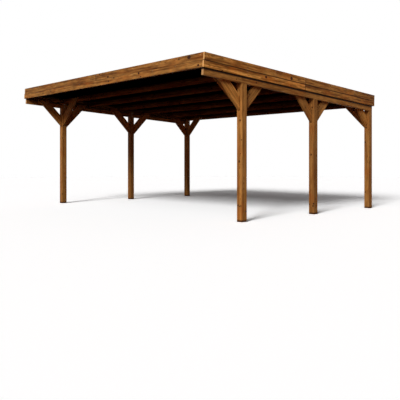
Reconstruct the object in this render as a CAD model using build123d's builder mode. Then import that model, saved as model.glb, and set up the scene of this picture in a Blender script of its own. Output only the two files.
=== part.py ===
from build123d import *
from math import cos, radians, sin, sqrt, tan
import os

# sizes in mm: X across the car bays, Y front to back, Z up, origin on the ground at mid width and depth
# posts
post_side = 120.0
post_edge_chamfer = 4.0
row_x = 2936.5  # middle of each post row from the centre line
front_post_y = -1608.0
post_spacing = 2033.5
post_y = [front_post_y, front_post_y + post_spacing, front_post_y + 2 * post_spacing]
post_names = ["front", "middle", "rear"]

# roof frame, built square and then leaned to the back as one
roof_fall_deg = 2.87
beam_under_mid = 2226.5  # ground to the underside of the beams, halfway along
roof_length = 5158.0  # over the lower boards, which stand furthest out at the front and rear
roof_half_width = 3026.0  # to the upper boards, which stand furthest out at the sides
end_upper_board = 20.0  # fascia board thicknesses, front and rear
end_lower_board = 28.0
side_upper_board = 28.0  # fascia board thicknesses, right and left
side_lower_board = 24.0
beam_thick = 48.0
beam_high = 118.0
fascia_joint = 226.0  # beam underside to the joint between the two fascia boards
fascia_top = 354.0

# purlins run across on the beams and carry the roof sheets
purlin_thick = 48.0
purlin_high = 120.0
field_purlins = 4
field_purlin_start = -845.0
field_purlin_step = 857.0

# braces
brace_thick = 48.0
brace_wide = 170.0
fore_brace_drop = [452.0, 452.0, 375.0]  # beam underside down to each brace's foot: front, middle, rear posts
aft_brace_drop = [474.0, 474.0]  # the rear posts have none
cross_brace_drop = [427.0, 375.0]  # front posts, rear posts
cross_brace_set_back = 27.0  # front of the post to the front of the brace
cross_brace_below_sheet = 25.0

# ribbed roof sheets
sheet_gauge = 1.0
sheet_count = 6
ribs_per_sheet = 5
rib_high = 18.0
rib_top = 25.0
rib_base = 65.0
sheet_edge_gap = 5.0  # sheets to the side and front boards
sheet_rear_gap = 40.0  # sheets to the rear boards, where the rain runs off

# packers between the last purlin and the rear boards
packer_count = 5
packer_wide = 60.0
packer_reach = 2700.0  # outermost packers from the centre line

lean = radians(roof_fall_deg)
post_half = post_side / 2
roof = Plane(origin=(0, 0, beam_under_mid), x_dir=(1, 0, 0), z_dir=(0, sin(lean), cos(lean)))
roof_mid = -(beam_high + fascia_joint) / 2 * tan(lean)  # puts the leaned roof evenly about Y = 0
roof_front = roof_mid - roof_length / 2
roof_rear = roof_mid + roof_length / 2
purlin_top = beam_high + purlin_high
inside_half_width = roof_half_width - side_upper_board
inside_front = roof_front + end_lower_board
inside_rear = roof_rear - end_lower_board
beam_outer_x = row_x + post_half
beam_inner_x = beam_outer_x - beam_thick
cut_away = 4 * post_side  # reach of the cutting blocks past a post

os.makedirs("parts", exist_ok=True)


def save(part, name):
    part.label = name
    export_step(part, f"parts/{name}.step")


def height_at(y, above_beam_underside):
    """Height above the ground of a line in the leaned roof at depth y."""
    return beam_under_mid + above_beam_underside / cos(lean) - y * tan(lean)


def along_roof(y, above_beam_underside):
    """Distance down the leaned roof of a point at depth y."""
    return (y - above_beam_underside * sin(lean)) / cos(lean)


def roof_block(x0, x1, u0, u1, v0, v1):
    """Block square to the leaned roof: x across, u down the fall, v up from the beam underside."""
    with BuildPart() as block:
        with BuildSketch(roof.offset(v0)):
            with Locations(((x0 + x1) / 2, (u0 + u1) / 2)):
                Rectangle(x1 - x0, u1 - u0)
        extrude(amount=v1 - v0)
    return block.part


def post(side, y):
    """Post with its head cut to the roof's fall and notched on the outside for the beam."""
    with BuildPart() as timber:
        with BuildSketch(Plane.XY):
            with Locations((side * row_x, y)):
                Rectangle(post_side, post_side)
        extrude(amount=height_at(y, beam_high) + post_side)
        chamfer(timber.edges().filter_by(Axis.Z), post_edge_chamfer)
        with BuildSketch(roof.offset(beam_high)):
            with Locations((side * row_x, y)):
                Rectangle(cut_away, cut_away)
        extrude(amount=cut_away, mode=Mode.SUBTRACT)
        with BuildSketch(roof):
            with Locations((side * (beam_inner_x + cut_away / 2), y)):
                Rectangle(cut_away, cut_away)
        extrude(amount=cut_away, mode=Mode.SUBTRACT)
    return timber.part


def row_brace(side, y, toward, drop):
    """Brace in line with the row: butted on the post, lapped on the inside of the beam."""
    face_y = y + toward * post_half
    foot = height_at(face_y, 0) - drop
    heel = foot + brace_wide * sqrt(2)
    top = height_at(0, beam_high)
    grade = 1 + toward * tan(lean)
    low_run = (top - face_y * tan(lean) - foot) / grade
    high_run = (top - face_y * tan(lean) - heel) / grade
    outline = [
        (face_y, foot),
        (face_y + toward * low_run, foot + low_run),
        (face_y + toward * high_run, heel + high_run),
        (face_y, heel),
    ]
    near_x = min(side * beam_inner_x, side * (beam_inner_x - brace_thick))
    with BuildPart() as timber:
        with BuildSketch(Plane.YZ.offset(near_x)):
            with BuildLine():
                Polyline(*outline, close=True)
            make_face()
        extrude(amount=brace_thick)
    return timber.part


def cross_brace_back(y):
    """Depth of the face where a cross brace on the post at depth y lies against its purlin."""
    return y - post_half + cross_brace_set_back + brace_thick


def cross_brace(side, y, drop):
    """Brace towards the other row: butted on the post's inner side, lapped on the front of the purlin."""
    face_x = row_x - post_half
    back_y = cross_brace_back(y)
    foot = height_at(y, 0) - drop
    heel = foot + brace_wide * sqrt(2)
    top = height_at(back_y, purlin_top) - cross_brace_below_sheet
    outline = [
        (side * face_x, foot),
        (side * (face_x - (top - foot)), top),
        (side * (face_x - (top - heel)), top),
        (side * face_x, heel),
    ]
    with BuildPart() as timber:
        with BuildSketch(Plane.XZ.offset(-back_y)):
            with BuildLine():
                Polyline(*outline, close=True)
            make_face()
        extrude(amount=brace_thick)
    return timber.part


# posts, beams and the braces in line with them
for side, side_name in ((1, "right"), (-1, "left")):
    for y, name in zip(post_y, post_names):
        save(post(side, y), f"post_{side_name}_{name}")
    for y, drop, name in zip(post_y, fore_brace_drop, post_names):
        save(row_brace(side, y, -1, drop), f"brace_{side_name}_{name}_fore")
    for y, drop, name in zip(post_y, aft_brace_drop, post_names):
        save(row_brace(side, y, 1, drop), f"brace_{side_name}_{name}_aft")
    beam_ends = sorted((side * beam_inner_x, side * beam_outer_x))
    beam_rear = along_roof(post_y[2] + post_half, beam_high / 2)
    save(roof_block(*beam_ends, inside_front, beam_rear, 0, beam_high), f"beam_{side_name}")

# purlins: one behind the front boards, one behind each pair of cross braces, the rest between
front_purlin = along_roof(cross_brace_back(post_y[0]), beam_high)
rear_purlin = along_roof(cross_brace_back(post_y[2]), beam_high)
purlins = [inside_front, front_purlin]
for index in range(field_purlins):
    purlins.append(along_roof(field_purlin_start + index * field_purlin_step, beam_high))
purlins.append(rear_purlin)
for number, u in enumerate(purlins):
    block = roof_block(-inside_half_width, inside_half_width, u, u + purlin_thick, beam_high, purlin_top)
    save(block, f"purlin_{number}")

# braces from the four end posts to the purlins over them
for y, drop, name in zip((post_y[0], post_y[2]), cross_brace_drop, ("front", "rear")):
    for side, side_name in ((1, "right"), (-1, "left")):
        save(cross_brace(side, y, drop), f"cross_brace_{side_name}_{name}")

# fascia: two boards high all round, the side boards covering the ends of the front and rear ones
for low, high, end_board, side_board, name in (
    (beam_high, fascia_joint, end_lower_board, side_lower_board, "lower"),
    (fascia_joint, fascia_top, end_upper_board, side_upper_board, "upper"),
):
    front = inside_front - end_board
    rear = inside_rear + end_board
    side_x = inside_half_width + side_board
    save(roof_block(inside_half_width, side_x, front, rear, low, high), f"fascia_right_{name}")
    save(roof_block(-side_x, -inside_half_width, front, rear, low, high), f"fascia_left_{name}")
    across = (-inside_half_width, inside_half_width)
    save(roof_block(*across, front, inside_front, low, high), f"fascia_front_{name}")
    save(roof_block(*across, inside_rear, rear, low, high), f"fascia_rear_{name}")

# packers behind the rear boards
with BuildPart() as packers:
    with BuildSketch(roof.offset(beam_high)):
        packer_front = rear_purlin + purlin_thick
        with Locations((0, (packer_front + inside_rear) / 2)):
            with GridLocations(2 * packer_reach / (packer_count - 1), 0, packer_count, 1):
                Rectangle(packer_wide, inside_rear - packer_front)
    extrude(amount=purlin_high)
save(packers.part, "rear_packers")

# ribbed sheets lying on the purlins, ribs running down the fall
sheets_wide = 2 * (inside_half_width - sheet_edge_gap)
sheet_wide = sheets_wide / sheet_count
rib_pitch = sheet_wide / ribs_per_sheet
sheet_front = inside_front + sheet_edge_gap
sheet_rear = inside_rear - sheet_rear_gap
profile_plane = Plane(
    origin=roof.from_local_coords(Vector(0, sheet_front, purlin_top)),
    x_dir=(1, 0, 0),
    z_dir=roof.y_dir * -1,
)
for number in range(sheet_count):
    start = -sheets_wide / 2 + number * sheet_wide
    under = [(start, 0)]
    for rib in range(ribs_per_sheet):
        middle = start + (rib + 0.5) * rib_pitch
        under += [
            (middle - rib_base / 2, 0),
            (middle - rib_top / 2, rib_high),
            (middle + rib_top / 2, rib_high),
            (middle + rib_base / 2, 0),
        ]
    under.append((start + sheet_wide, 0))
    over = [(x, z + sheet_gauge) for x, z in reversed(under)]
    with BuildPart() as sheet:
        with BuildSketch(profile_plane):
            with BuildLine():
                Polyline(*under, *over, close=True)
            make_face()
        extrude(amount=-(sheet_rear - sheet_front))
    save(sheet.part, f"roof_sheet_{number + 1}")
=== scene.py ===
import random
from math import atan2, cos, pi, radians, sin

import bmesh
import bpy
from mathutils import Matrix, Vector


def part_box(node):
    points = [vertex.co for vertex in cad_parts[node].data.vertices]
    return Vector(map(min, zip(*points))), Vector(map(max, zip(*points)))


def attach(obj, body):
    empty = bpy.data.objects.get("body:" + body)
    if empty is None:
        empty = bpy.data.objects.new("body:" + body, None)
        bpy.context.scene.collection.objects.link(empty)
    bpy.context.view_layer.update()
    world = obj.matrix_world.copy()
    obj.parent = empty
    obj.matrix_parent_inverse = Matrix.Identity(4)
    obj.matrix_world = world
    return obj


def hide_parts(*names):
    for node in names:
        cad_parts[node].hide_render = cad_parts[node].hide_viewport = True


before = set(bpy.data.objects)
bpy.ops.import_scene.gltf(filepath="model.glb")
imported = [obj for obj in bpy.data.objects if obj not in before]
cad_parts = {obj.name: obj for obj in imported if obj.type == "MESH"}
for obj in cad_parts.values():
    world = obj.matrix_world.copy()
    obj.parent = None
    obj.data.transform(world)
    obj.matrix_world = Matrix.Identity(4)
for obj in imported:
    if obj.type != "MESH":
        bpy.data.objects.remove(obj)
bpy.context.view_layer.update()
scene = bpy.context.scene
print("frame loaded:", len(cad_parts), "nodes")

mm = 0.001


def linearColour(hexText):
    # sRGB hex, such as "#A06A3C", to the linear colour that sockets take
    channels = []
    for start in (1, 3, 5):
        value = int(hexText[start:start + 2], 16) / 255
        channels.append(value / 12.92 if value <= 0.04045 else ((value + 0.055) / 1.055) ** 2.4)
    return (*channels, 1.0)


def addNode(tree, kind, links=None, **settings):
    # links maps an input's name or number to another node's output or to a plain value
    node = tree.nodes.new(kind)
    for name, value in settings.items():
        setattr(node, name, value)
    for key, value in (links or {}).items():
        if isinstance(value, bpy.types.NodeSocket):
            tree.links.new(value, node.inputs[key])
        else:
            node.inputs[key].default_value = value
    return node


def newGroup(name, inputs, outputs):
    # a shader node group with its ends in place; Timber is a place in the wood, the rest are numbers
    tree = bpy.data.node_groups.new(name, "ShaderNodeTree")
    for direction, labels in (("INPUT", inputs), ("OUTPUT", outputs)):
        for label in labels:
            kind = "NodeSocketVector" if label == "Timber" else "NodeSocketFloat"
            tree.interface.new_socket(label, in_out=direction, socket_type=kind)
    return tree, addNode(tree, "NodeGroupInput"), addNode(tree, "NodeGroupOutput")


def newMaterial(name):
    material = bpy.data.materials.new(name)
    material.use_nodes = True
    tree = material.node_tree
    tree.nodes.clear()
    return material, tree


# how spruce grows, in metres; timber coordinates run along the grain (x) with the pith at y = z = 0
growth = {
    "ringGap": 5.5 * mm,       # one year's growth, wide enough to show
    "lateStart": (0.35, 0.9),  # the part of a year over which the wood darkens
    "lateEnd": (0.9, 1.0),     # and over which it turns pale again
    "yearLeast": 0.35,         # late wood of the palest year, as a share of the darkest
    "bow": 64 * mm,            # how far the pith wanders along a trunk
    "wobble": 6.4 * mm,        # unevenness of a single ring
    "whorlGap": 460 * mm,      # along the trunk from one ring of branches to the next
    "branchTurn": 1.2,         # radians round the pith from one branch to the next
    "scatter": 0.9,            # how unevenly branches stand, from 0 to 1
    "knotSize": 13 * mm,       # radius of a large scattered knot
    "knotLeast": 0.1 * mm,     # and where no branch grew
    "knotShare": 0.45,         # share of places where a branch grew
    "trunkStep": 7.3,          # along the trunk from one timber to the next
    "trunkSpread": 3,          # and how much further by chance, at the most
}
# patterns in the wood: their length along the grain, their width across it and how finely they break up
patterns = {
    "bow": (700 * mm, 200 * mm, 1),
    "wobble": (160 * mm, 30 * mm, 2),
    "streak": (900 * mm, 36 * mm, 3),   # bands that took up more or less stain
    "blotch": (340 * mm, 260 * mm, 2),  # wide warm clouds
    "patch": (170 * mm, 45 * mm, 1),    # short patches where the stain dried paler or darker
    "fibre": (60 * mm, 1.6 * mm, 2),    # much coarser than real fibres, so that they show
}
# how the parts of a knot fade outwards: from one share of the knot's radius to another, and how full
# each is before and after
knotFades = {
    "heart": (0.75, 1.0, 1, 0),
    "rimIn": (0.5, 0.85, 0, 1),
    "rimOut": (0.95, 1.35, 1, 0),
    "swell": (0.8, 3.4, 1, 0),
}
knotOval = (0.75, 1, 1)  # squeezes places round a knot, so that it is longer along the grain


def polar(tree, timber):
    # place along the grain, distance from the pith, and the angle round it
    across = addNode(tree, "ShaderNodeVectorMath", {0: timber, 1: (0, 1, 1)}, operation="MULTIPLY")
    radius = addNode(tree, "ShaderNodeVectorMath", {0: across.outputs[0]}, operation="LENGTH")
    axes = addNode(tree, "ShaderNodeSeparateXYZ", {0: timber})
    angle = addNode(tree, "ShaderNodeMath", {0: axes.outputs[2], 1: axes.outputs[1]},
                    operation="ARCTAN2")
    return axes.outputs[0], radius.outputs["Value"], angle.outputs[0]


def makeKnotGroup():
    # one branch cut through: a hard dark heart, a darker bark ring, and year rings that swell round it.
    # Branches leave the pith square to it, so a knot is placed by its distance along and its angle
    tree, start, end = newGroup("spruceKnot", ["Timber", "Along", "Angle", "Size"],
                                ["Heart", "Rim", "Swell"])
    size = start.outputs["Size"]
    along, radius, angle = polar(tree, start.outputs["Timber"])
    lengthways = addNode(tree, "ShaderNodeMath", {0: along, 1: start.outputs["Along"]},
                         operation="SUBTRACT")
    turned = addNode(tree, "ShaderNodeMath", {0: angle, 1: start.outputs["Angle"]},
                     operation="SUBTRACT")
    sideways = addNode(tree, "ShaderNodeMath", {0: turned.outputs[0], 1: radius},
                       operation="MULTIPLY")
    away = addNode(tree, "ShaderNodeCombineXYZ", {0: lengthways.outputs[0], 1: sideways.outputs[0]})
    oval = addNode(tree, "ShaderNodeVectorMath", {0: away.outputs[0], 1: knotOval},
                   operation="MULTIPLY")
    length = addNode(tree, "ShaderNodeVectorMath", {0: oval.outputs[0]}, operation="LENGTH")
    ratio = addNode(tree, "ShaderNodeMath", {0: length.outputs["Value"], 1: size},
                    operation="DIVIDE")
    fades = {}
    for name, (low, high, before, after) in knotFades.items():
        fade = addNode(tree, "ShaderNodeMapRange", {
            "Value": ratio.outputs[0], "From Min": low, "From Max": high,
            "To Min": before, "To Max": after,
        }, interpolation_type="SMOOTHSTEP")
        fades[name] = fade.outputs[0]
    rim = addNode(tree, "ShaderNodeMath", {0: fades["rimIn"], 1: fades["rimOut"]},
                  operation="MULTIPLY")
    swell = addNode(tree, "ShaderNodeMath", {0: fades["swell"], 1: size}, operation="MULTIPLY")
    tree.links.new(fades["heart"], end.inputs["Heart"])
    tree.links.new(rim.outputs[0], end.inputs["Rim"])
    tree.links.new(swell.outputs[0], end.inputs["Swell"])
    return tree


def makeScatterGroup(knotGroup):
    # branches at random places: a cell for each place where one may have grown
    tree, start, end = newGroup("scatteredKnots", ["Timber"], ["Heart", "Rim", "Swell"])
    timber = start.outputs["Timber"]
    along, _, angle = polar(tree, timber)
    unrolled = addNode(tree, "ShaderNodeCombineXYZ", {0: along, 1: angle})
    cell = (growth["whorlGap"], growth["branchTurn"], 1)
    scaled = addNode(tree, "ShaderNodeVectorMath", {0: unrolled.outputs[0], 1: cell},
                     operation="DIVIDE")
    cells = addNode(tree, "ShaderNodeTexVoronoi", {
        "Vector": scaled.outputs[0], "Scale": 1.0, "Randomness": growth["scatter"],
    }, voronoi_dimensions="2D")
    centre = addNode(tree, "ShaderNodeVectorMath", {0: cells.outputs["Position"], 1: cell},
                     operation="MULTIPLY")
    place = addNode(tree, "ShaderNodeSeparateXYZ", {0: centre.outputs[0]})
    chance = addNode(tree, "ShaderNodeSeparateColor", {"Color": cells.outputs["Color"]})
    size = addNode(tree, "ShaderNodeMapRange", {
        "Value": chance.outputs[0], "From Min": 1 - growth["knotShare"], "From Max": 1,
        "To Min": growth["knotLeast"], "To Max": growth["knotSize"],
    })
    knot = addNode(tree, "ShaderNodeGroup", node_tree=knotGroup)
    for index, output in enumerate((timber, place.outputs[0], place.outputs[1], size.outputs[0])):
        tree.links.new(output, knot.inputs[index])
    for index, output in enumerate(knot.outputs):
        tree.links.new(output, end.inputs[index])
    return tree


def makeFigureGroup():
    # the wood's figure: late wood lines, stain streaks, blotches and patches, and fibres
    tree, start, end = newGroup("spruceFigure", ["Timber", "Swell"],
                                ["Late", "Streak", "Blotch", "Patch", "Fibre"])
    timber = start.outputs["Timber"]

    def grainNoise(patternName):
        length, width, detail = patterns[patternName]
        place = addNode(tree, "ShaderNodeVectorMath", {0: timber, 1: (length, width, width)},
                        operation="DIVIDE")
        noise = addNode(tree, "ShaderNodeTexNoise", {
            "Vector": place.outputs[0], "Scale": 1.0, "Detail": detail})
        return noise.outputs["Fac"]

    radius = addNode(tree, "ShaderNodeMath", {0: polar(tree, timber)[1], 1: start.outputs["Swell"]},
                     operation="ADD")
    for patternName in ("bow", "wobble"):
        radius = addNode(tree, "ShaderNodeMath", {
            0: grainNoise(patternName), 1: growth[patternName], 2: radius.outputs[0],
        }, operation="MULTIPLY_ADD")
    year = addNode(tree, "ShaderNodeMath", {0: radius.outputs[0], 1: growth["ringGap"]},
                   operation="DIVIDE")
    season = addNode(tree, "ShaderNodeMath", {0: year.outputs[0]}, operation="FRACT")
    # no two years grow alike, so each ring has a weight of its own
    whole = addNode(tree, "ShaderNodeMath", {0: year.outputs[0]}, operation="FLOOR")
    odd = addNode(tree, "ShaderNodeTexWhiteNoise", {"W": whole.outputs[0]}, noise_dimensions="1D")
    weight = addNode(tree, "ShaderNodeMapRange", {
        "Value": odd.outputs["Value"], "To Min": growth["yearLeast"], "To Max": 1})
    late = weight.outputs[0]
    for (low, high), before, after in ((growth["lateStart"], 0, 1), (growth["lateEnd"], 1, 0)):
        fade = addNode(tree, "ShaderNodeMapRange", {
            "Value": season.outputs[0], "From Min": low, "From Max": high,
            "To Min": before, "To Max": after,
        }, interpolation_type="SMOOTHSTEP")
        late = addNode(tree, "ShaderNodeMath", {0: late, 1: fade.outputs[0]},
                       operation="MULTIPLY").outputs[0]
    tree.links.new(late, end.inputs["Late"])
    for patternName in ("streak", "blotch", "patch", "fibre"):
        tree.links.new(grainNoise(patternName), end.inputs[patternName.capitalize()])
    return tree


knotGroup = makeKnotGroup()
scatterGroup = makeScatterGroup(knotGroup)
figureGroup = makeFigureGroup()
print("wood node groups ready")

# brown glazed spruce: the pressure stain leaves the early wood honey brown and the late wood and knots
# dark, under a dull glaze that hardly shines
stain = {
    "early": "#C48A47",
    "late": "#84501C",
    "streak": "#6E3E14",
    "blotch": "#A65A1E",
    "heart": "#45210E",
    "rim": "#220E05",
    "deep": "#3A1C08",
    "end": "#CC9E6A",
    "thinGain": (1.95, 1.95, 1.75),  # how much lighter red, green and blue are at a depth of -1
    "streakSpan": (0.43, 0.66),      # where in the pattern streaks start and are full
    "streakMost": 0.6,               # how much of their colour full streaks lay on
    "streakMottle": 0.4,             # and how much more on the most uneven boards
    "blotchSpan": (0.45, 0.7),
    "blotchMost": 0.5,
    "lightSpan": (0.25, 0.75),       # where in their patterns fibres and patches are darkest and palest
    "fibreLight": (0.84, 1.14),
    "patchLight": (-0.42, 0.38),     # change on the most uneven boards
    "sawnFacing": 0.6,               # a face turned further along the grain than this is a sawn end
    "roughness": (0.7, 0.56),        # early wood, late wood
    "specular": 0.1,
    "relief": 0.35 * mm,
    "fibreRelief": 0.4,              # height of the fibres beside the late wood's
    "reliefStrength": 0.5,
    "spread": 0.05,                  # how much the stain differs between timbers of one kind
}


def stainedSpruce(name, turn, pith, slide, knots, depth, bands, specular, mottle):
    # turn holds the grain and the two cross directions as columns; pith is a point on the pith; slide
    # moves the pattern along the grain; a depth above 0 darkens the stain and one below 0 thins it, and
    # for some pieces the depth is painted light or shade; each band, a dark foot or butt, painted shade
    # in a joint or a painted shadow under the fascia, is a direction, how far along it the wood is
    # darkest, how far along it the band has faded out, and how dark; mottle is how uneven the stain came
    # out, from 0 to 1
    material, tree = newMaterial(name)
    where = addNode(tree, "ShaderNodeTexCoord")
    origin = pith - turn.col[0] * slide
    timber = addNode(tree, "ShaderNodeMapping", {
        "Vector": where.outputs["Object"], "Location": origin, "Rotation": turn.to_euler(),
    }, vector_type="TEXTURE").outputs[0]
    scatter = addNode(tree, "ShaderNodeGroup", node_tree=scatterGroup)
    tree.links.new(timber, scatter.inputs["Timber"])
    knotParts = list(scatter.outputs)
    for place, size in knots:
        knot = addNode(tree, "ShaderNodeGroup", node_tree=knotGroup)
        tree.links.new(timber, knot.inputs["Timber"])
        spot = turn.transposed() @ (Vector(place) - origin)
        knot.inputs["Along"].default_value = spot.x
        knot.inputs["Angle"].default_value = atan2(spot.z, spot.y)
        knot.inputs["Size"].default_value = size
        for index, operation in enumerate(("MAXIMUM", "MAXIMUM", "ADD")):
            both = addNode(tree, "ShaderNodeMath", {0: knotParts[index], 1: knot.outputs[index]},
                           operation=operation)
            knotParts[index] = both.outputs[0]
    hearts, rims, swells = knotParts
    figure = addNode(tree, "ShaderNodeGroup", node_tree=figureGroup)
    tree.links.new(timber, figure.inputs["Timber"])
    tree.links.new(swells, figure.inputs["Swell"])
    late, streak, blotch, patch, fibre = figure.outputs

    # the finish from the wood outwards: each layer is a share from 0 to 1 and the colour that it lays
    # over what is there, or no share and a light that all of it is multiplied by
    finish = [(late, linearColour(stain["late"]))]
    streakMost = stain["streakMost"] + stain["streakMottle"] * mottle
    for pattern, (low, high), most, over in (
        (streak, stain["streakSpan"], streakMost, stain["streak"]),
        (blotch, stain["blotchSpan"], stain["blotchMost"], stain["blotch"]),
    ):
        share = addNode(tree, "ShaderNodeMapRange", {
            "Value": pattern, "From Min": low, "From Max": high, "To Min": 0, "To Max": most})
        finish.append((share.outputs[0], linearColour(over)))
    patchLight = [1 + change * mottle for change in stain["patchLight"]]
    low, high = stain["lightSpan"]
    for pattern, (darkest, palest) in ((fibre, stain["fibreLight"]), (patch, patchLight)):
        light = addNode(tree, "ShaderNodeMapRange", {
            "Value": pattern, "From Min": low, "From Max": high, "To Min": darkest,
            "To Max": palest,
        })
        finish.append((None, light.outputs[0]))
    # sawn ends drink less stain and show their rings
    facing = addNode(tree, "ShaderNodeMapping", {
        "Vector": where.outputs["Normal"], "Rotation": turn.to_euler()}, vector_type="TEXTURE")
    axes = addNode(tree, "ShaderNodeSeparateXYZ", {0: facing.outputs[0]})
    square = addNode(tree, "ShaderNodeMath", {0: axes.outputs[0]}, operation="ABSOLUTE")
    sawn = addNode(tree, "ShaderNodeMath", {0: square.outputs[0], 1: stain["sawnFacing"]},
                   operation="GREATER_THAN")
    rings = addNode(tree, "ShaderNodeMix", {
        0: late, 6: linearColour(stain["end"]), 7: linearColour(stain["early"]),
    }, data_type="RGBA")
    finish.append((sawn.outputs[0], rings.outputs[2]))
    finish.append((hearts, linearColour(stain["heart"])))
    finish.append((rims, linearColour(stain["rim"])))
    # a depth above 0 darkens the whole piece and one below 0 makes it paler; for some pieces this is
    # painted light or shade
    if depth > 0:
        finish.append((depth, linearColour(stain["deep"])))
    else:
        finish.append((None, [1 - depth * (channel - 1) for channel in stain["thinGain"]]))
    # the bands lay the knots' rim colour over the wood: painted shade at the brace ends and in the fascia
    # joints, a painted shadow along the beams' tops under the fascia, and plain darkening at the post
    # feet and butts
    for direction, darkest, fadedAt, strength in bands:
        reach = addNode(tree, "ShaderNodeVectorMath", {0: where.outputs["Object"], 1: direction},
                        operation="DOT_PRODUCT")
        darkening = addNode(tree, "ShaderNodeMapRange", {
            "Value": reach.outputs["Value"], "From Min": darkest, "From Max": fadedAt,
            "To Min": strength, "To Max": 0,
        }, interpolation_type="SMOOTHSTEP")
        finish.append((darkening.outputs[0], linearColour(stain["rim"])))
    colour = linearColour(stain["early"])
    for share, over in finish:
        if share is None:
            colour = addNode(tree, "ShaderNodeVectorMath", {0: colour, 1: over},
                             operation="MULTIPLY").outputs[0]
        else:
            colour = addNode(tree, "ShaderNodeMix", {0: share, 6: colour, 7: over},
                             data_type="RGBA").outputs[2]

    rough = addNode(tree, "ShaderNodeMapRange", {
        "Value": late, "To Min": stain["roughness"][0], "To Max": stain["roughness"][1]})
    relief = addNode(tree, "ShaderNodeMath", {0: fibre, 1: stain["fibreRelief"], 2: late},
                     operation="MULTIPLY_ADD")
    bump = addNode(tree, "ShaderNodeBump", {
        "Height": relief.outputs[0], "Strength": stain["reliefStrength"],
        "Distance": stain["relief"],
    })
    board = addNode(tree, "ShaderNodeBsdfPrincipled", {
        "Base Color": colour, "Roughness": rough.outputs[0], "Normal": bump.outputs[0],
        "Specular IOR Level": specular,
    })
    addNode(tree, "ShaderNodeOutputMaterial", {0: board.outputs[0]})
    return material


# how the CAD pieces are cleaned, and their sharp edges eased
meshing = {"merge": 0.05 * mm, "flat": radians(0.5), "sharp": radians(15), "edgeSteps": 2}


def cleanCopy(nodeName):
    # the CAD piece as a closed mesh of whole flat faces
    bm = bmesh.new()
    bm.from_mesh(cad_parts[nodeName].data)
    bmesh.ops.remove_doubles(bm, verts=bm.verts, dist=meshing["merge"])
    bmesh.ops.dissolve_limit(bm, angle_limit=meshing["flat"], verts=bm.verts, edges=bm.edges)
    return bm


def middleOf(nodeName):
    low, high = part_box(nodeName)
    return (low + high) / 2


def directionsOf(bm):
    # columns of a turn: along the grain, which is the longest edge and runs right, back or up, then
    # across the wide and the thin faces; lengths are rounded so that equal ones stay equal
    longest = max(bm.edges, key=lambda e: round(e.calc_length(), 4))
    grain = (longest.verts[1].co - longest.verts[0].co).normalized()
    rightBackUp = Vector((0.9, 1.1, 1))  # uneven, so that no brace lies square to it
    if grain.dot(rightBackUp) < 0:
        grain.negate()
    spreads = []
    for axis in Matrix.Identity(3):
        across = axis - grain * axis.dot(grain)
        if across.length > 0.6:  # leaves out an axis that the grain follows
            across.normalize()
            reach = [v.co.dot(across) for v in bm.verts]
            spreads.append((round(max(reach) - min(reach), 4), tuple(across)))
    thin = Vector(min(spreads)[1])
    return Matrix((grain, thin.cross(grain), thin)).transposed()


def sawCut(bm, place, direction, width):
    # a butt joint: the board ends on either side of a narrow gap
    for side in (-1, 1):
        geometry = bm.verts[:] + bm.edges[:] + bm.faces[:]
        bmesh.ops.bisect_plane(bm, geom=geometry, plane_co=place + direction * side * width / 2,
                               plane_no=direction)
    strip = [f for f in bm.faces if abs((f.calc_center_median() - place).dot(direction)) < width / 4]
    bmesh.ops.delete(bm, geom=strip, context="FACES")
    bmesh.ops.holes_fill(bm, edges=[e for e in bm.edges if e.is_boundary], sides=0)


def easeEdges(bm, radius):
    sharp = [e for e in bm.edges if e.is_manifold and e.calc_face_angle() > meshing["sharp"]]
    bmesh.ops.bevel(bm, geom=sharp, offset=radius, offset_type="OFFSET",
                    segments=meshing["edgeSteps"], profile=0.5, affect="EDGES", clamp_overlap=True,
                    material=-1)


def placePiece(bm, pieceName, nodeName, materials):
    mesh = bpy.data.meshes.new(pieceName)
    bm.to_mesh(mesh)
    bm.free()
    for material in materials:
        mesh.materials.append(material)
    piece = bpy.data.objects.new(pieceName, mesh)
    scene.collection.objects.link(piece)
    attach(piece, "root")
    if nodeName:
        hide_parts(nodeName)
    return piece


# how each kind of timber was cut and finished; pith is how far the pith lies from the middle of the
# section, across the wide and the thin faces
timbers = {
    "post": {"edge": 1.2 * mm, "pith": (12 * mm, -16 * mm), "depth": 0.2, "mottle": 0.3},
    "beam": {"edge": 3 * mm, "pith": (26 * mm, -62 * mm), "mottle": 0.7},
    "brace": {"edge": 3 * mm, "pith": (-30 * mm, 58 * mm), "mottle": 0.4},
    "cross": {"edge": 3 * mm, "pith": (24 * mm, -56 * mm), "mottle": 0.4},
    # the purlins' depth darkens them as painted shade under the roof
    "purlin": {"edge": 3 * mm, "pith": (10 * mm, -66 * mm), "depth": 0.12, "specular": 0,
               "mottle": 0.5},
    "fascia": {"edge": 3.5 * mm, "pith": (-18 * mm, 72 * mm), "depth": 0.15, "mottle": 1},
    "rear": {"edge": 1.5 * mm, "pith": (10 * mm, -60 * mm), "depth": 0.35, "specular": 0,
             "mottle": 0.5},
}
# how much stain single pieces took up, where it is not their kind's (above 0 darker, below 0 paler);
# several numbers paint light and shade rather than stain: the left middle post is darker as painted
# shade, and the right front post (a painted sheen), the right row's fore braces and front cross brace,
# and the right side fascia boards are paler as painted light; a board with two numbers is two lengths,
# butted near the middle
tonesAndPaintedLight = {
    "post_right_front": 0.02,
    "post_right_middle": 0.28,
    "post_right_rear": 0.26,
    "post_left_middle": 0.4,
    "beam_right": 0.05,
    "brace_right_front_fore": -0.5,
    "brace_right_front_aft": 0,
    "brace_right_rear_fore": -0.25,
    "cross_brace_right_front": -0.3,
    "cross_brace_right_rear": -0.25,
    "fascia_front_lower": 0.26,
    "fascia_front_upper": (0.42, 0.3),
    "fascia_right_upper": (-0.26, 0.02),
    "fascia_right_lower": (-0.65, -0.12),
    "fascia_rear_upper": (0.2, 0.05),
    "fascia_left_upper": (0.1, -0.1),
    "fascia_left_lower": (-0.1, 0.1),
}
buttGap = 1.6 * mm
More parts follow.
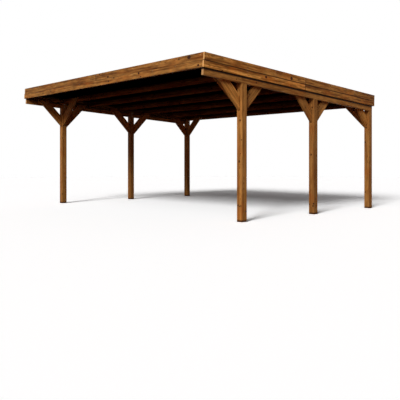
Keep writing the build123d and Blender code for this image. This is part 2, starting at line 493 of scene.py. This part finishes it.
# how far past the middle, along the grain, the boards of each side are butted
buttShift = {"front": -20 * mm, "rear": -20 * mm, "right": 55 * mm, "left": 55 * mm}
# how far the dark bands reach from a piece's edge: darkest within the first, gone by the second, and
# how dark; at the brace ends and in the fascia joints they are painted shade, along the beams' tops a
# painted shadow under the fascia, and at the post feet and butt joints just darker wood
darkBands = {
    "foot": (18 * mm, 50 * mm, 0.8),
    # painted shade where a brace's end meets a post
    "braceEnd": (3 * mm, 20 * mm, 0.85),
    # painted shade in the joint between the upper and lower fascia boards, at the sides and at the front
    # and rear
    "sideJoint": (2 * mm, 13 * mm, 0.95),
    "endJoint": (1 * mm, 9 * mm, 0.75),
    # painted shadow under the fascia, along the beam's top
    "beamTop": (22 * mm, 42 * mm, 0.95),
    "butt": (2 * mm, 11 * mm, 0.9),
}
# branches that show as single knots: a point on the face where each comes out, and its radius
knotPlaces = {
    "fascia_front_upper": [((2.67, -2.56, 2.67), 26 * mm), ((0.4, -2.56, 2.61), 15 * mm)],
    "fascia_front_lower": [((2.9, -2.58, 2.51), 15 * mm), ((1.37, -2.57, 2.56), 17 * mm),
                           ((0.44, -2.57, 2.52), 13 * mm), ((1.43, -2.57, 2.5), 9 * mm),
                           ((-1.76, -2.57, 2.53), 13 * mm)],
    "fascia_right_upper": [((3.03, -0.37, 2.52), 22 * mm)],
    "fascia_right_lower": [((3.02, -1.08, 2.47), 18 * mm)],
    "post_right_front": [((2.98, -1.67, 1.37), 8 * mm), ((2.93, -1.67, 1.01), 14 * mm),
                         ((2.9, -1.67, 0.28), 9 * mm), ((3.0, -1.57, 0.18), 9 * mm)],
    "post_right_middle": [((2.97, 0.37, 0.16), 10 * mm), ((3.0, 0.43, 0.29), 9 * mm)],
    "post_right_rear": [((2.9, 2.4, 1.43), 10 * mm), ((2.91, 2.4, 0.35), 9 * mm),
                        ((3.0, 2.45, 0.33), 9 * mm)],
}
luck = random.Random(41)


def darkEndBand(direction, start, reach):
    # a dark band that starts this far along the direction and fades out further along it
    near, far, strength = reach
    return (direction, start + near, start + far, strength)


def edgeBand(bm, direction, reach):
    # a band along the edge of the piece that the direction leads away from
    return darkEndBand(direction, min(v.co.dot(direction) for v in bm.verts), reach)


def darkBandsOf(nodeName, bm, turn):
    # a dark band at the foot of each post, painted shade in the joints between boards and where braces
    # meet posts, and a painted shadow under the fascia along the beams' tops
    up = turn.col[1] if turn.col[1].z > 0 else -turn.col[1]
    kind, side = nodeName.split("_")[0], 1 if "right" in nodeName else -1
    if kind == "post":
        return [edgeBand(bm, Vector((0, 0, 1)), darkBands["foot"])]
    if kind == "brace":
        return [edgeBand(bm, Vector((0, -1 if nodeName.endswith("fore") else 1, 0)), darkBands["braceEnd"])]
    if kind == "cross":
        return [edgeBand(bm, Vector((-side, 0, 0)), darkBands["braceEnd"])]
    if kind == "fascia":
        edge = darkBands["endJoint" if "front" in nodeName or "rear" in nodeName else "sideJoint"]
        return [edgeBand(bm, up.copy() if nodeName.endswith("upper") else -up, edge)]
    if kind == "beam":
        return [edgeBand(bm, -up, darkBands["beamTop"])]
    return []


def makeTimber(nodeName, number):
    kind = timbers[nodeName.split("_")[0]]
    bm = cleanCopy(nodeName)
    turn = directionsOf(bm)
    middle = middleOf(nodeName)
    bands = darkBandsOf(nodeName, bm, turn)
    grain = turn.col[0].copy()
    tone = tonesAndPaintedLight.get(nodeName, kind.get("depth", 0))
    lengths = [(tone, [])]
    if isinstance(tone, tuple):
        joint = middle + grain * buttShift[nodeName.split("_")[1]]
        sawCut(bm, joint, grain, buttGap)
        lengths = []
        for away, depth in zip((-grain, grain), tone):
            lengths.append((depth, [darkEndBand(away, joint.dot(away), darkBands["butt"])]))
    easeEdges(bm, kind["edge"])
    materials = []
    wide, thin = kind["pith"]
    for index, (depth, ends) in enumerate(lengths):
        pith = middle + turn.col[1] * wide * luck.choice((-1, 1)) + turn.col[2] * thin
        slide = growth["trunkStep"] * number + luck.uniform(0, growth["trunkSpread"])
        materials.append(stainedSpruce(
            f"stainedSpruce.{nodeName}.{index}", turn, pith, slide, knotPlaces.get(nodeName, []),
            depth + luck.uniform(-stain["spread"], stain["spread"]), bands + ends,
            kind.get("specular", stain["specular"]), kind["mottle"]))
    if len(lengths) > 1:
        for face in bm.faces:
            face.material_index = 1 if (face.calc_center_median() - joint).dot(grain) > 0 else 0
    return placePiece(bm, nodeName + "_timber", nodeName, materials)


timberNodes = sorted(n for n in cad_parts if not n.startswith("roof_sheet"))
for number, nodeName in enumerate(timberNodes):
    makeTimber(nodeName, number)
print("timbers made:", len(timberNodes))

# coated steel sheet: a matt anthracite lacquer outside, lightly dusted; the inside is near black with a
# red cast, which is painted shade under the roof
coating = {
    "outside": {"colour": "#3B3F42", "specular": 0.3, "dusty": 0.3},
    "inside": {"colour": "#0E0806", "specular": 0.0, "dusty": 0.0},
    "dust": "#6B6A64",
    "dustCloud": 769 * mm,      # from one cloud of dust to the next
    "dustSpan": (0.4, 0.75),    # where in the clouds the dust starts and is full
    "speckle": 3 * mm,          # coarser than the lacquer's real grain, so that it shows
    "roughness": (0.47, 0.67),
    "relief": 0.05 * mm,
    "reliefStrength": 0.15,
}


def coatedSteel(name, side):
    material, tree = newMaterial(name)
    where = addNode(tree, "ShaderNodeTexCoord").outputs["Object"]
    speckle = addNode(tree, "ShaderNodeTexNoise", {
        "Vector": where, "Scale": 1 / coating["speckle"], "Detail": 2}).outputs["Fac"]
    clouds = addNode(tree, "ShaderNodeTexNoise", {
        "Vector": where, "Scale": 1 / coating["dustCloud"], "Detail": 4})
    low, high = coating["dustSpan"]
    dusty = addNode(tree, "ShaderNodeMapRange", {
        "Value": clouds.outputs["Fac"], "From Min": low, "From Max": high, "To Min": 0,
        "To Max": side["dusty"],
    })
    colour = addNode(tree, "ShaderNodeMix", {
        0: dusty.outputs[0], 6: linearColour(side["colour"]), 7: linearColour(coating["dust"]),
    }, data_type="RGBA")
    rough = addNode(tree, "ShaderNodeMapRange", {
        "Value": speckle, "To Min": coating["roughness"][0], "To Max": coating["roughness"][1]})
    bump = addNode(tree, "ShaderNodeBump", {
        "Height": speckle, "Strength": coating["reliefStrength"], "Distance": coating["relief"]})
    lacquer = addNode(tree, "ShaderNodeBsdfPrincipled", {
        "Base Color": colour.outputs[2], "Roughness": rough.outputs[0], "Normal": bump.outputs[0],
        "Specular IOR Level": side["specular"],
    })
    addNode(tree, "ShaderNodeOutputMaterial", {0: lacquer.outputs[0]})
    return material


def makeSheet(nodeName, materials):
    bm = cleanCopy(nodeName)
    for face in bm.faces:
        face.material_index = 0 if face.normal.z > 0 else 1
    return placePiece(bm, nodeName + "_steel", nodeName, materials)


steelSides = [coatedSteel("coatedSteelOutside", coating["outside"]),
              coatedSteel("coatedSteelInsidePaintedShade", coating["inside"])]
sheetNodes = sorted(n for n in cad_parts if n.startswith("roof_sheet"))
for nodeName in sheetNodes:
    makeSheet(nodeName, steelSides)
print("roof sheets made:", len(sheetNodes))


def roofDirections():
    # down the roof's fall, which the beams follow, and square up from the roof
    bm = cleanCopy("beam_right")
    fall = directionsOf(bm).col[0].copy()
    bm.free()
    return fall, Vector((1, 0, 0)).cross(fall)


roofFall, roofUp = roofDirections()
purlinNodes = sorted(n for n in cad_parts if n.startswith("purlin"))
purlinMiddles = [middleOf(nodeName) for nodeName in purlinNodes]

# black foam, dull and finely pored: closers in the ribs over the first and last purlins, and a strip
# along the sheets' outer edges
foam = {
    "ribs": 5, "high": 17.5 * mm, "base": 63 * mm, "top": 24 * mm, "long": 30 * mm,
    "stripWide": 4.6 * mm, "stripHigh": 12 * mm,
    "purlinHalf": 60 * mm,
    "gap": 0.2 * mm,  # to the purlins and to the sheets' edges
    "colour": "#1C1B1A", "poreColour": "#070707", "pore": 1.2 * mm, "poreStrength": 0.4,
    "roughness": 0.95, "specular": 0.1,
}


def blackFoam():
    material, tree = newMaterial("blackFoam")
    where = addNode(tree, "ShaderNodeTexCoord").outputs["Object"]
    pores = addNode(tree, "ShaderNodeTexVoronoi", {
        "Vector": where, "Scale": 1 / foam["pore"]}).outputs["Distance"]
    colour = addNode(tree, "ShaderNodeMix", {
        0: pores, 6: linearColour(foam["colour"]), 7: linearColour(foam["poreColour"]),
    }, data_type="RGBA")
    bump = addNode(tree, "ShaderNodeBump", {
        "Height": pores, "Strength": foam["poreStrength"], "Distance": foam["pore"] / 4})
    skin = addNode(tree, "ShaderNodeBsdfPrincipled", {
        "Base Color": colour.outputs[2], "Roughness": foam["roughness"], "Normal": bump.outputs[0],
        "Specular IOR Level": foam["specular"],
    })
    addNode(tree, "ShaderNodeOutputMaterial", {0: skin.outputs[0]})
    return material


def makeFoam():
    bm = bmesh.new()

    def addBlock(foot, base, top, high, long):
        # a block that narrows upwards, standing on foot
        for vert in bmesh.ops.create_cube(bm, size=2)["verts"]:
            x, y, z = vert.co
            wide = base if z < 0 else top
            rise = high if z > 0 else 0
            vert.co = foot + Vector((1, 0, 0)) * x * wide / 2 + roofFall * y * long / 2 + roofUp * rise

    lift = roofUp * (foam["purlinHalf"] + foam["gap"])
    first, last = purlinMiddles[0] + lift, purlinMiddles[-1] + lift
    for nodeName in sheetNodes:
        low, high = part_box(nodeName)
        for end in (first, last):
            for rib in range(foam["ribs"]):
                foot = end.copy()
                foot.x = low.x + (rib + 0.5) * (high.x - low.x) / foam["ribs"]
                addBlock(foot, foam["base"], foam["top"], foam["high"], foam["long"])
    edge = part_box(sheetNodes[-1])[1].x + foam["stripWide"] / 2 + foam["gap"]
    for side in (-1, 1):
        foot = (first + last) / 2 + Vector((side * edge, 0, 0))
        addBlock(foot, foam["stripWide"], foam["stripWide"], foam["stripHigh"], last.y - first.y)
    return placePiece(bm, "foam_closers", None, [blackFoam()])


makeFoam()
print("foam closers made")

# stainless steel, weathered to a soft warm grey that glints here and there: countersunk screws through
# the boards and the lapped ends of the braces, and washers and nuts on the posts' bolts
fixings = {
    "headRadius": 4.6 * mm, "headProud": 0.4 * mm, "headSides": 12,
    "recessRadius": 1.9 * mm, "recessDepth": 1.2 * mm,
    "boardRow": 30 * mm,                # from the middle of a board to either row of screws
    "endPitch": 590 * mm,               # between the screws along the front and rear boards
    "braceSteps": (95 * mm, 175 * mm),  # from a brace's tip to its screws
    "lapMiddle": 65 * mm,               # from a brace's top down to the middle of its lap
    "notchHigh": 121 * mm,              # from a post's top down to the foot of its notch
    "boltLevels": (28 * mm, 90 * mm),   # above the foot of the notch
    "washerRadius": 11 * mm, "washerThick": 2 * mm, "washerSides": 16,
    "nutRadius": 7.5 * mm, "nutHigh": 6 * mm, "nutSides": 6,
    "taper": 0.9,                       # a head's outer face beside its foot
    "colour": "#A39A8B", "cloud": 9 * mm, "cloudLight": (0.6, 1.25),
    "metallic": 0.8, "roughness": (0.32, 0.57),
}


def stainlessSteel():
    material, tree = newMaterial("stainlessSteel")
    where = addNode(tree, "ShaderNodeTexCoord").outputs["Object"]
    cloud = addNode(tree, "ShaderNodeTexNoise", {
        "Vector": where, "Scale": 1 / fixings["cloud"], "Detail": 3}).outputs["Fac"]
    light = addNode(tree, "ShaderNodeMapRange", {
        "Value": cloud, "To Min": fixings["cloudLight"][0], "To Max": fixings["cloudLight"][1]})
    colour = addNode(tree, "ShaderNodeVectorMath", {
        0: linearColour(fixings["colour"])[:3], 1: light.outputs[0]}, operation="MULTIPLY")
    rough = addNode(tree, "ShaderNodeMapRange", {
        "Value": cloud, "To Min": fixings["roughness"][0], "To Max": fixings["roughness"][1]})
    metal = addNode(tree, "ShaderNodeBsdfPrincipled", {
        "Base Color": colour.outputs[0], "Metallic": fixings["metallic"],
        "Roughness": rough.outputs[0],
    })
    addNode(tree, "ShaderNodeOutputMaterial", {0: metal.outputs[0]})
    return material


def addDisc(bm, place, outward, radius, rise, sides, recess=0, sink=0):
    # a low round or six-sided head on a face, with a driver recess where there is one
    stand = Matrix.Translation(place) @ outward.to_track_quat("Z", "Y").to_matrix().to_4x4()
    made = bmesh.ops.create_cone(bm, cap_ends=True, segments=sides, radius1=radius,
                                 radius2=radius * fixings["taper"], depth=2 * rise, matrix=stand)
    faces = {face for vert in made["verts"] for face in vert.link_faces}
    top = max(faces, key=lambda face: (face.calc_center_median() - place).dot(outward))
    if recess:
        bmesh.ops.inset_region(bm, faces=[top], thickness=radius * fixings["taper"] - recess)
        inner = bmesh.ops.extrude_discrete_faces(bm, faces=[top])["faces"]
        bmesh.ops.translate(bm, verts=inner[0].verts, vec=-outward * sink)


def boardScrews(nodeName, stations, outward):
    # two screws across the board at each station along it
    bm = cleanCopy(nodeName)
    turn = directionsOf(bm)
    middle = middleOf(nodeName)
    face = max((v.co - middle).dot(outward) for v in bm.verts)
    bm.free()
    for station in stations:
        along = turn.col[0] * (station - middle).dot(turn.col[0])
        for row in (-fixings["boardRow"], fixings["boardRow"]):
            yield middle + along + outward * face + turn.col[1] * row, outward


def innerSide(nodeName):
    # where the inner side of a piece in one of the rows lies, and the way it faces
    low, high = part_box(nodeName)
    if "right" in nodeName:
        return low.x, Vector((-1, 0, 0))
    return high.x, Vector((1, 0, 0))


def braceScrews(nodeName):
    # the lapped end lies against the beam, so its screws go in from the inside
    low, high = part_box(nodeName)
    inner, inward = innerSide(nodeName)
    tip, back = (low.y, 1) if nodeName.endswith("fore") else (high.y, -1)
    for step in fixings["braceSteps"]:
        yield Vector((inner, tip + back * step, high.z - fixings["lapMiddle"])), inward


def addBolts(bm, nodeName):
    # the washers and nuts of a post's bolts, on its inner side
    low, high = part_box(nodeName)
    inner, inward = innerSide(nodeName)
    for level in fixings["boltLevels"]:
        place = Vector((inner, (low.y + high.y) / 2, high.z - fixings["notchHigh"] + level))
        addDisc(bm, place, inward, fixings["washerRadius"], fixings["washerThick"],
                fixings["washerSides"])
        addDisc(bm, place + inward * fixings["washerThick"], inward, fixings["nutRadius"],
                fixings["nutHigh"], fixings["nutSides"])


def makeFixings():
    bm = bmesh.new()
    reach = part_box("fascia_front_upper")[1].x - 2 * fixings["boardRow"]
    count = round(2 * reach / fixings["endPitch"])
    ends = [Vector((-reach + 2 * reach * step / count, 0, 0)) for step in range(count + 1)]
    screws = []
    for level in ("lower", "upper"):
        for side, stations, outward in (
            ("right", purlinMiddles, Vector((1, 0, 0))), ("left", purlinMiddles, Vector((-1, 0, 0))),
            ("front", ends, -roofFall), ("rear", ends, roofFall),
        ):
            screws += boardScrews(f"fascia_{side}_{level}", stations, outward)
    for nodeName in sorted(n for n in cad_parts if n.startswith("brace")):
        screws += braceScrews(nodeName)
    for place, outward in screws:
        addDisc(bm, place, outward, fixings["headRadius"], fixings["headProud"],
                fixings["headSides"], fixings["recessRadius"], fixings["recessDepth"])
    postNodes = sorted(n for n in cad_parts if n.startswith("post"))
    for nodeName in postNodes:
        addBolts(bm, nodeName)
    print("screws made:", len(screws), "and bolts:", len(postNodes) * len(fixings["boltLevels"]))
    return placePiece(bm, "screws_and_bolts", None, [stainlessSteel()])


makeFixings()

# a plain studio: pale floor, one large soft lamp in front and to the right, a weak one behind, white
# all round; the higher a reach, the tighter its haze gathers; colours here are linear, some above white
studio = {
    "lampHeight": 28, "lampTurn": 23, "lampWidth": 18, "lampPower": 0.74 * pi,
    "hazePower": 1.5, "hazeReach": 10,
    "horizon": (1.5, 0.5, 0.42, 1), "horizonWidth": 0.06,
    "backTowards": (0.55, -0.7, -0.45), "backPower": 0.12, "backReach": 3,
    "fill": (0.008, 0.003, 0.003, 1), "floorBounce": (0.02, 0.007, 0.006, 1),
    "floorPaper": (1.95, 1.95, 1.95, 1), "paperGlow": (0.028, 0.031, 0.031, 1),
    "white": (1, 1, 1, 1), "floorReach": 26, "floorSides": 96,
}


def seenDirectly(tree):
    # 1 for what the camera, a mirror or glass sees of the studio; 0 for the light that it gives off
    rays = addNode(tree, "ShaderNodeLightPath").outputs
    total = rays["Is Camera Ray"]
    for ray in ("Is Glossy Ray", "Is Transmission Ray"):
        total = addNode(tree, "ShaderNodeMath", {0: total, 1: rays[ray]}, operation="ADD",
                        use_clamp=True).outputs[0]
    return total


def lampDirection():
    turn, height = radians(studio["lampTurn"]), radians(studio["lampHeight"])
    return Vector((-sin(turn) * cos(height), cos(turn) * cos(height), -sin(height)))


def makeWorld():
    world = bpy.data.worlds.new("studioWorld")
    scene.world = world
    world.use_nodes = True
    tree = world.node_tree
    tree.nodes.clear()
    glows = []
    # the haze of light round the large lamp, and the weak one behind
    skyward = addNode(tree, "ShaderNodeTexCoord").outputs["Generated"]
    for towards, reach, power in (
        (lampDirection(), studio["hazeReach"], studio["hazePower"]),
        (Vector(studio["backTowards"]).normalized(), studio["backReach"], studio["backPower"]),
    ):
        nearness = addNode(tree, "ShaderNodeVectorMath", {0: skyward, 1: -towards},
                           operation="DOT_PRODUCT")
        haze = nearness.outputs["Value"]
        for operation, value in (("MAXIMUM", 0), ("POWER", reach), ("MULTIPLY", power)):
            haze = addNode(tree, "ShaderNodeMath", {0: haze, 1: value}, operation=operation).outputs[0]
        glows.append((studio["white"], haze))
    # a faint glow low on the horizon, past the edge of the floor
    height = addNode(tree, "ShaderNodeSeparateXYZ", {0: skyward}).outputs[2]
    level = addNode(tree, "ShaderNodeMath", {0: height}, operation="ABSOLUTE")
    horizon = addNode(tree, "ShaderNodeMapRange", {
        "Value": level.outputs[0], "From Min": 0, "From Max": studio["horizonWidth"],
        "To Min": 1, "To Max": 0,
    })
    glows.append((studio["horizon"], horizon.outputs[0]))
    dim = addNode(tree, "ShaderNodeBackground", {"Color": studio["fill"], "Strength": 1.0})
    for colour, strength in glows:
        glow = addNode(tree, "ShaderNodeBackground", {"Color": colour, "Strength": strength})
        dim = addNode(tree, "ShaderNodeAddShader", {0: dim.outputs[0], 1: glow.outputs[0]})
    backdrop = addNode(tree, "ShaderNodeBackground", {"Color": studio["white"], "Strength": 1.0})
    mix = addNode(tree, "ShaderNodeMixShader", {
        0: seenDirectly(tree), 1: dim.outputs[0], 2: backdrop.outputs[0]})
    addNode(tree, "ShaderNodeOutputWorld", {0: mix.outputs[0]})


def studioPaper():
    # matt paper, bright to the eye but dark to the carport, so that it throws little light up
    material, tree = newMaterial("studioPaper")
    paper = addNode(tree, "ShaderNodeBsdfDiffuse", {"Color": studio["floorPaper"]})
    glow = addNode(tree, "ShaderNodeEmission", {"Color": studio["paperGlow"], "Strength": 1.0})
    paper = addNode(tree, "ShaderNodeAddShader", {0: paper.outputs[0], 1: glow.outputs[0]})
    bounce = addNode(tree, "ShaderNodeBsdfDiffuse", {"Color": studio["floorBounce"]})
    mix = addNode(tree, "ShaderNodeMixShader", {
        0: seenDirectly(tree), 1: bounce.outputs[0], 2: paper.outputs[0]})
    addNode(tree, "ShaderNodeOutputMaterial", {0: mix.outputs[0]})
    return material


def makeFloor():
    bm = bmesh.new()
    bmesh.ops.create_circle(bm, cap_ends=True, segments=studio["floorSides"],
                            radius=studio["floorReach"])
    mesh = bpy.data.meshes.new("studioFloor")
    bm.to_mesh(mesh)
    bm.free()
    mesh.materials.append(studioPaper())
    floor = bpy.data.objects.new("studioFloor", mesh)
    scene.collection.objects.link(floor)


def makeLamp():
    data = bpy.data.lights.new("softLamp", "SUN")
    data.energy = studio["lampPower"]
    data.angle = radians(studio["lampWidth"])
    lamp = bpy.data.objects.new("softLamp", data)
    lamp.rotation_euler = lampDirection().to_track_quat("-Z", "Y").to_euler()
    scene.collection.objects.link(lamp)


makeWorld()
makeFloor()
makeLamp()

# a low eye near the front right corner, with the lens raised to keep the posts upright
view = {"place": (9.229, -8.522, 1.006), "turn": 46.6, "lens": 50.15, "sensor": 36, "rise": -0.0956}
cameraData = bpy.data.cameras.new("frontCorner")
cameraData.lens = view["lens"]
cameraData.sensor_width = view["sensor"]
cameraData.shift_y = view["rise"]
camera = bpy.data.objects.new("frontCorner", cameraData)
camera.location = view["place"]
camera.rotation_euler = (radians(90), 0, radians(view["turn"]))
scene.collection.objects.link(camera)
scene.camera = camera
scene.view_settings.view_transform = "Standard"
print("studio and camera ready")
